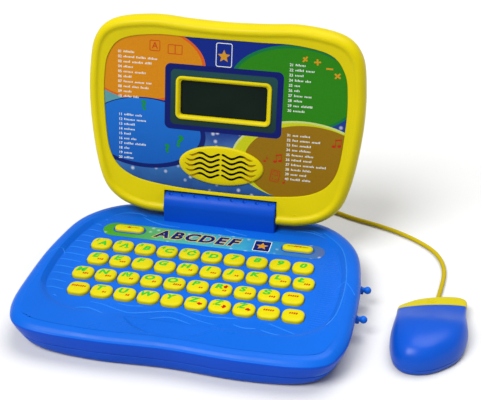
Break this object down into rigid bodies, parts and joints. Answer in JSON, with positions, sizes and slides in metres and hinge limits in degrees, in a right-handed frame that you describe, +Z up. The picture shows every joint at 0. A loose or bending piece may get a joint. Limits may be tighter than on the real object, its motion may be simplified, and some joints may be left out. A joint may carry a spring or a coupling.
{
  "type": "toy laptop computer",
  "caption": "Toy laptop computer with a keyboard base, a folding lid that carries a small screen and a speaker, and a corded mouse.",
  "frame": {"origin": "middle of the base's flat underside", "axes": "+X to the user's right, +Y away from the user towards the hinge, +Z up"},
  "size_m": [0.322, 0.2451, 0.1847],
  "materials": {
    "base_blue": "satin moulded ABS, smooth rim, fine ribs and wave lines on the deck",
    "base_under": "fine-textured moulded ABS",
    "key_yellow": "satin pillow key caps with printed legends",
    "lid_yellow": "satin moulded ABS",
    "lid_back_yellow": "satin moulded ABS",
    "screen_window": "clear glossy pane with a dark green screen behind it",
    "screen_module": "dark green passive screen",
    "circuit_green": "solder-masked board",
    "mat_rubber": "matt silicone rubber",
    "axle_steel": "drawn steel rod",
    "speaker_black": "paper cone in a pressed basket",
    "mouse_blue": "satin moulded ABS",
    "mouse_yellow": "satin moulded ABS",
    "cord_vinyl": "soft satin vinyl"
  },
  "bodies": {
    "base": {"base_top_case": "base_blue", "base_bottom_case": "base_under", "battery_door": "base_under", "keypad_mat": "mat_rubber", "circuit_board": "circuit_green", "hinge_cover": "base_blue", "hinge_axle": "axle_steel", "cord_gland": "cord_vinyl", "mouse_cord": "cord_vinyl"},
    "lid": {"lid_front_frame": "lid_yellow", "lid_back_cover": "lid_back_yellow", "display_window": "screen_window", "lcd_module": "screen_module", "speaker_driver": "speaker_black"},
    "mouse": {"mouse_top_shell": "mouse_blue", "mouse_base": "mouse_blue", "mouse_circuit_board": "circuit_green"},
    "mouse_button": {"mouse_button": "mouse_yellow"},
    "key_r1_c01": {"key_r1_c01": "key_yellow"},
    "key_r1_c02": {"key_r1_c02": "key_yellow"},
    "key_r1_c03": {"key_r1_c03": "key_yellow"},
    "key_r1_c04": {"key_r1_c04": "key_yellow"},
    "key_r1_c05": {"key_r1_c05": "key_yellow"},
    "key_r1_c06": {"key_r1_c06": "key_yellow"},
    "key_r1_c07": {"key_r1_c07": "key_yellow"},
    "key_r1_c08": {"key_r1_c08": "key_yellow"},
    "key_r1_c09": {"key_r1_c09": "key_yellow"},
    "key_r1_c10": {"key_r1_c10": "key_yellow"},
    "key_r2_c01": {"key_r2_c01": "key_yellow"},
    "key_r2_c02": {"key_r2_c02": "key_yellow"},
    "key_r2_c03": {"key_r2_c03": "key_yellow"},
    "key_r2_c04": {"key_r2_c04": "key_yellow"},
    "key_r2_c05": {"key_r2_c05": "key_yellow"},
    "key_r2_c06": {"key_r2_c06": "key_yellow"},
    "key_r2_c07": {"key_r2_c07": "key_yellow"},
    "key_r2_c08": {"key_r2_c08": "key_yellow"},
    "key_r2_c09": {"key_r2_c09": "key_yellow"},
    "key_r2_c10": {"key_r2_c10": "key_yellow"},
    "key_r3_c01": {"key_r3_c01": "key_yellow"},
    "key_r3_c02": {"key_r3_c02": "key_yellow"},
    "key_r3_c03": {"key_r3_c03": "key_yellow"},
    "key_r3_c04": {"key_r3_c04": "key_yellow"},
    "key_r3_c05": {"key_r3_c05": "key_yellow"},
    "key_r3_c06": {"key_r3_c06": "key_yellow"},
    "key_r3_c07": {"key_r3_c07": "key_yellow"},
    "key_r3_c08": {"key_r3_c08": "key_yellow"},
    "key_r3_c09": {"key_r3_c09": "key_yellow"},
    "key_r3_c10": {"key_r3_c10": "key_yellow"},
    "key_r4_c01": {"key_r4_c01": "key_yellow"},
    "key_r4_c02": {"key_r4_c02": "key_yellow"},
    "key_r4_c03": {"key_r4_c03": "key_yellow"},
    "key_r4_c04": {"key_r4_c04": "key_yellow"},
    "key_r4_c05": {"key_r4_c05": "key_yellow"},
    "key_r4_c06": {"key_r4_c06": "key_yellow"},
    "key_r4_c07": {"key_r4_c07": "key_yellow"},
    "key_r4_c08": {"key_r4_c08": "key_yellow"},
    "key_r4_c09": {"key_r4_c09": "key_yellow"},
    "key_r4_c10": {"key_r4_c10": "key_yellow"},
    "wide_key_left": {"wide_key_left": "key_yellow"},
    "wide_key_right": {"wide_key_right": "key_yellow"}
  },
  "joints": [
    {"name": "lid_hinge", "type": "hinge", "parent": "base", "child": "lid", "pos_m": [0, 0.076, 0.0372], "axis": [1, 0, 0], "range_deg": [0, 99.5]},
    {"name": "mouse_slide", "type": "slide", "parent": "base", "child": "mouse", "axis": [0, -1, 0], "range_m": [-0.015, 0.03], "deforming": ["mouse_cord"]},
    {"name": "mouse_button_press", "type": "slide", "parent": "mouse", "child": "mouse_button", "axis": [0, 0, -1], "range_m": [0, 0.001], "stiffness_N_per_m": 400},
    {"name": "key_r1_c01_press", "type": "slide", "parent": "base", "child": "key_r1_c01", "axis": [0, 0, -1], "range_m": [0, 0.0016], "stiffness_N_per_m": 200},
    {"name": "key_r1_c02_press", "type": "slide", "parent": "base", "child": "key_r1_c02", "axis": [0, 0, -1], "range_m": [0, 0.0016], "stiffness_N_per_m": 200},
    {"name": "key_r1_c03_press", "type": "slide", "parent": "base", "child": "key_r1_c03", "axis": [0, 0, -1], "range_m": [0, 0.0016], "stiffness_N_per_m": 200},
    {"name": "key_r1_c04_press", "type": "slide", "parent": "base", "child": "key_r1_c04", "axis": [0, 0, -1], "range_m": [0, 0.0016], "stiffness_N_per_m": 200},
    {"name": "key_r1_c05_press", "type": "slide", "parent": "base", "child": "key_r1_c05", "axis": [0, 0, -1], "range_m": [0, 0.0016], "stiffness_N_per_m": 200},
    {"name": "key_r1_c06_press", "type": "slide", "parent": "base", "child": "key_r1_c06", "axis": [0, 0, -1], "range_m": [0, 0.0016], "stiffness_N_per_m": 200},
    {"name": "key_r1_c07_press", "type": "slide", "parent": "base", "child": "key_r1_c07", "axis": [0, 0, -1], "range_m": [0, 0.0016], "stiffness_N_per_m": 200},
    {"name": "key_r1_c08_press", "type": "slide", "parent": "base", "child": "key_r1_c08", "axis": [0, 0, -1], "range_m": [0, 0.0016], "stiffness_N_per_m": 200},
    {"name": "key_r1_c09_press", "type": "slide", "parent": "base", "child": "key_r1_c09", "axis": [0, 0, -1], "range_m": [0, 0.0016], "stiffness_N_per_m": 200},
    {"name": "key_r1_c10_press", "type": "slide", "parent": "base", "child": "key_r1_c10", "axis": [0, 0, -1], "range_m": [0, 0.0016], "stiffness_N_per_m": 200},
    {"name": "key_r2_c01_press", "type": "slide", "parent": "base", "child": "key_r2_c01", "axis": [0, 0, -1], "range_m": [0, 0.0016], "stiffness_N_per_m": 200},
    {"name": "key_r2_c02_press", "type": "slide", "parent": "base", "child": "key_r2_c02", "axis": [0, 0, -1], "range_m": [0, 0.0016], "stiffness_N_per_m": 200},
    {"name": "key_r2_c03_press", "type": "slide", "parent": "base", "child": "key_r2_c03", "axis": [0, 0, -1], "range_m": [0, 0.0016], "stiffness_N_per_m": 200},
    {"name": "key_r2_c04_press", "type": "slide", "parent": "base", "child": "key_r2_c04", "axis": [0, 0, -1], "range_m": [0, 0.0016], "stiffness_N_per_m": 200},
    {"name": "key_r2_c05_press", "type": "slide", "parent": "base", "child": "key_r2_c05", "axis": [0, 0, -1], "range_m": [0, 0.0016], "stiffness_N_per_m": 200},
    {"name": "key_r2_c06_press", "type": "slide", "parent": "base", "child": "key_r2_c06", "axis": [0, 0, -1], "range_m": [0, 0.0016], "stiffness_N_per_m": 200},
    {"name": "key_r2_c07_press", "type": "slide", "parent": "base", "child": "key_r2_c07", "axis": [0, 0, -1], "range_m": [0, 0.0016], "stiffness_N_per_m": 200},
    {"name": "key_r2_c08_press", "type": "slide", "parent": "base", "child": "key_r2_c08", "axis": [0, 0, -1], "range_m": [0, 0.0016], "stiffness_N_per_m": 200},
    {"name": "key_r2_c09_press", "type": "slide", "parent": "base", "child": "key_r2_c09", "axis": [0, 0, -1], "range_m": [0, 0.0016], "stiffness_N_per_m": 200},
    {"name": "key_r2_c10_press", "type": "slide", "parent": "base", "child": "key_r2_c10", "axis": [0, 0, -1], "range_m": [0, 0.0016], "stiffness_N_per_m": 200},
    {"name": "key_r3_c01_press", "type": "slide", "parent": "base", "child": "key_r3_c01", "axis": [0, 0, -1], "range_m": [0, 0.0016], "stiffness_N_per_m": 200},
    {"name": "key_r3_c02_press", "type": "slide", "parent": "base", "child": "key_r3_c02", "axis": [0, 0, -1], "range_m": [0, 0.0016], "stiffness_N_per_m": 200},
    {"name": "key_r3_c03_press", "type": "slide", "parent": "base", "child": "key_r3_c03", "axis": [0, 0, -1], "range_m": [0, 0.0016], "stiffness_N_per_m": 200},
    {"name": "key_r3_c04_press", "type": "slide", "parent": "base", "child": "key_r3_c04", "axis": [0, 0, -1], "range_m": [0, 0.0016], "stiffness_N_per_m": 200},
    {"name": "key_r3_c05_press", "type": "slide", "parent": "base", "child": "key_r3_c05", "axis": [0, 0, -1], "range_m": [0, 0.0016], "stiffness_N_per_m": 200},
    {"name": "key_r3_c06_press", "type": "slide", "parent": "base", "child": "key_r3_c06", "axis": [0, 0, -1], "range_m": [0, 0.0016], "stiffness_N_per_m": 200},
    {"name": "key_r3_c07_press", "type": "slide", "parent": "base", "child": "key_r3_c07", "axis": [0, 0, -1], "range_m": [0, 0.0016], "stiffness_N_per_m": 200},
    {"name": "key_r3_c08_press", "type": "slide", "parent": "base", "child": "key_r3_c08", "axis": [0, 0, -1], "range_m": [0, 0.0016], "stiffness_N_per_m": 200},
    {"name": "key_r3_c09_press", "type": "slide", "parent": "base", "child": "key_r3_c09", "axis": [0, 0, -1], "range_m": [0, 0.0016], "stiffness_N_per_m": 200},
    {"name": "key_r3_c10_press", "type": "slide", "parent": "base", "child": "key_r3_c10", "axis": [0, 0, -1], "range_m": [0, 0.0016], "stiffness_N_per_m": 200},
    {"name": "key_r4_c01_press", "type": "slide", "parent": "base", "child": "key_r4_c01", "axis": [0, 0, -1], "range_m": [0, 0.0016], "stiffness_N_per_m": 200},
    {"name": "key_r4_c02_press", "type": "slide", "parent": "base", "child": "key_r4_c02", "axis": [0, 0, -1], "range_m": [0, 0.0016], "stiffness_N_per_m": 200},
    {"name": "key_r4_c03_press", "type": "slide", "parent": "base", "child": "key_r4_c03", "axis": [0, 0, -1], "range_m": [0, 0.0016], "stiffness_N_per_m": 200},
    {"name": "key_r4_c04_press", "type": "slide", "parent": "base", "child": "key_r4_c04", "axis": [0, 0, -1], "range_m": [0, 0.0016], "stiffness_N_per_m": 200},
    {"name": "key_r4_c05_press", "type": "slide", "parent": "base", "child": "key_r4_c05", "axis": [0, 0, -1], "range_m": [0, 0.0016], "stiffness_N_per_m": 200},
    {"name": "key_r4_c06_press", "type": "slide", "parent": "base", "child": "key_r4_c06", "axis": [0, 0, -1], "range_m": [0, 0.0016], "stiffness_N_per_m": 200},
    {"name": "key_r4_c07_press", "type": "slide", "parent": "base", "child": "key_r4_c07", "axis": [0, 0, -1], "range_m": [0, 0.0016], "stiffness_N_per_m": 200},
    {"name": "key_r4_c08_press", "type": "slide", "parent": "base", "child": "key_r4_c08", "axis": [0, 0, -1], "range_m": [0, 0.0016], "stiffness_N_per_m": 200},
    {"name": "key_r4_c09_press", "type": "slide", "parent": "base", "child": "key_r4_c09", "axis": [0, 0, -1], "range_m": [0, 0.0016], "stiffness_N_per_m": 200},
    {"name": "key_r4_c10_press", "type": "slide", "parent": "base", "child": "key_r4_c10", "axis": [0, 0, -1], "range_m": [0, 0.0016], "stiffness_N_per_m": 200},
    {"name": "wide_key_left_press", "type": "slide", "parent": "base", "child": "wide_key_left", "axis": [0, 0, -1], "range_m": [0, 0.0016], "stiffness_N_per_m": 200},
    {"name": "wide_key_right_press", "type": "slide", "parent": "base", "child": "wide_key_right", "axis": [0, 0, -1], "range_m": [0, 0.0016], "stiffness_N_per_m": 200}
  ]
}
